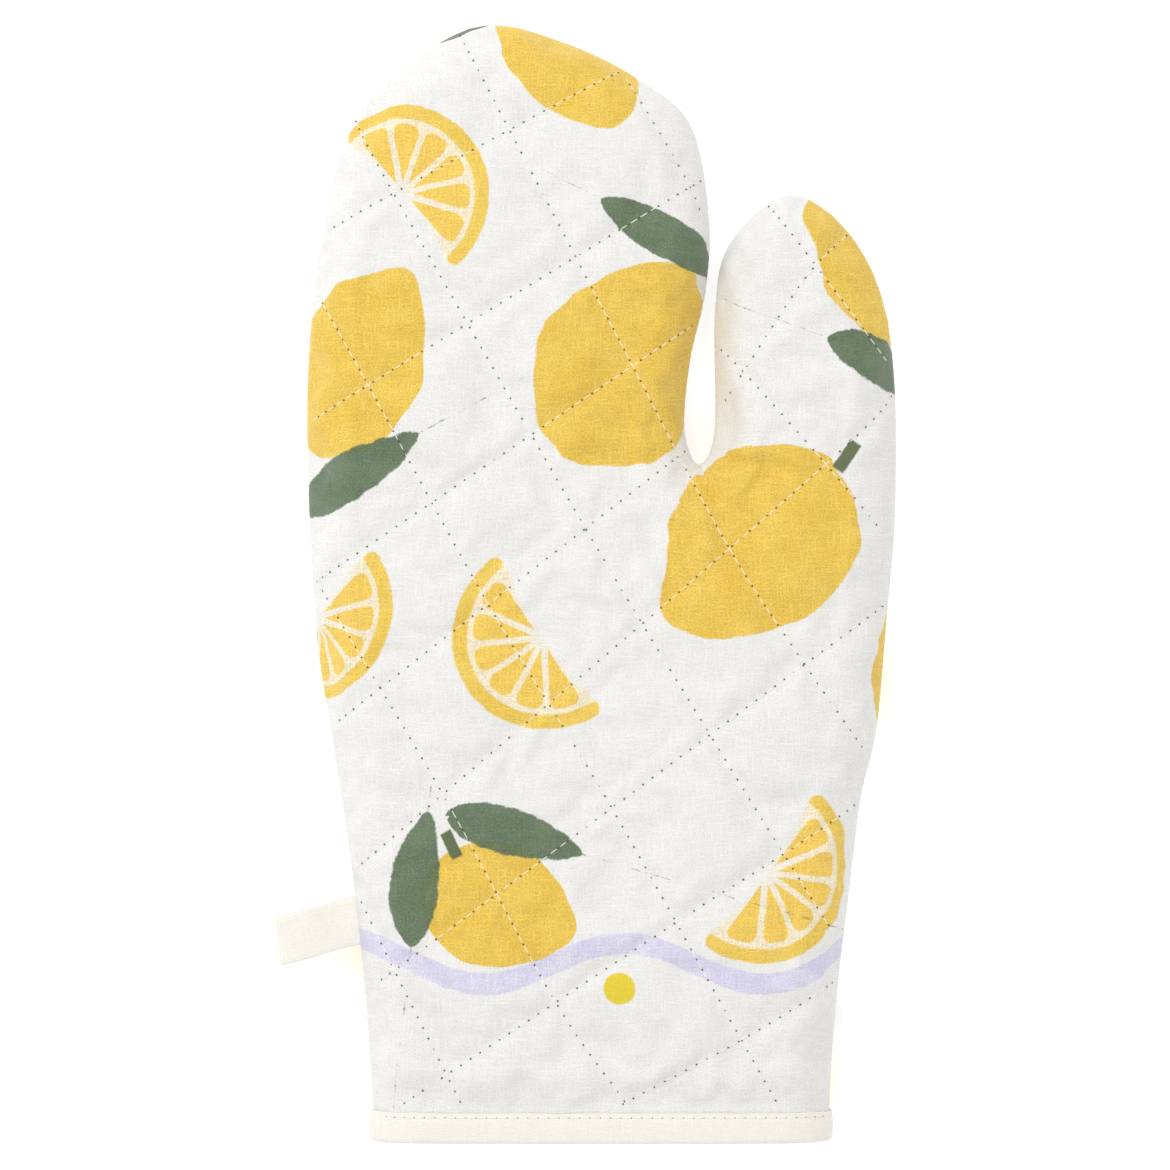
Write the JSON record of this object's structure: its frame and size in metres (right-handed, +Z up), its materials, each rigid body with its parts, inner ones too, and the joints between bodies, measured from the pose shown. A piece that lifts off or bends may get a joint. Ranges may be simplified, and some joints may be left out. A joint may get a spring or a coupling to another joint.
{
  "type": "oven mitt",
  "caption": "Quilted oven mitt with a separate thumb, a bound cuff and a hanging loop, lying flat.",
  "frame": {"origin": "on the surface that the mitt lies on, under the middle of the mitt with its loop", "axes": "+Y from the cuff to the fingertips, +Z up out of the front panel, +X towards the thumb"},
  "size_m": [0.1786, 0.3204, 0.0269],
  "materials": {
    "printed_cloth": "plain-weave cotton, off-white with a lemon, leaf and slice print",
    "batting": "soft white needled batting",
    "lining_cloth": "plain cream cotton",
    "cream_cloth": "cream cotton twill tape",
    "sewing_thread": "spun cream thread"
  },
  "bodies": {
    "palm": {"palm_front_shell": "printed_cloth", "palm_front_batting": "batting", "palm_front_lining": "lining_cloth", "palm_back_shell": "printed_cloth", "palm_back_batting": "batting", "palm_back_lining": "lining_cloth", "palm_front_quilting": "sewing_thread", "palm_back_quilting": "sewing_thread", "palm_seam_thread": "sewing_thread", "cuff_binding": "cream_cloth", "binding_topstitch": "sewing_thread"},
    "fingers": {"fingers_front_shell": "printed_cloth", "fingers_front_batting": "batting", "fingers_front_lining": "lining_cloth", "fingers_back_shell": "printed_cloth", "fingers_back_batting": "batting", "fingers_back_lining": "lining_cloth", "fingers_front_quilting": "sewing_thread", "fingers_back_quilting": "sewing_thread", "fingers_seam_thread": "sewing_thread"},
    "thumb": {"thumb_front_shell": "printed_cloth", "thumb_front_batting": "batting", "thumb_front_lining": "lining_cloth", "thumb_back_shell": "printed_cloth", "thumb_back_batting": "batting", "thumb_back_lining": "lining_cloth", "thumb_front_quilting": "sewing_thread", "thumb_back_quilting": "sewing_thread", "thumb_seam_thread": "sewing_thread"},
    "loop": {"hanging_loop": "cream_cloth"}
  },
  "joints": [
    {"name": "finger_curl", "type": "hinge", "parent": "palm", "child": "fingers", "pos_m": [0, 0.0618, 0.027], "axis": [1, 0, 0], "range_deg": [0, 50]},
    {"name": "thumb_curl", "type": "hinge", "parent": "palm", "child": "thumb", "pos_m": [0.0614, 0.0438, 0.027], "axis": [1, 0, 0], "range_deg": [0, 50]},
    {"name": "loop_swing", "type": "hinge", "parent": "palm", "child": "loop", "pos_m": [-0.06645, -0.0968, 0.01], "axis": [-0.1167, 0.9932, 0], "range_deg": [-60, 60]}
  ]
}
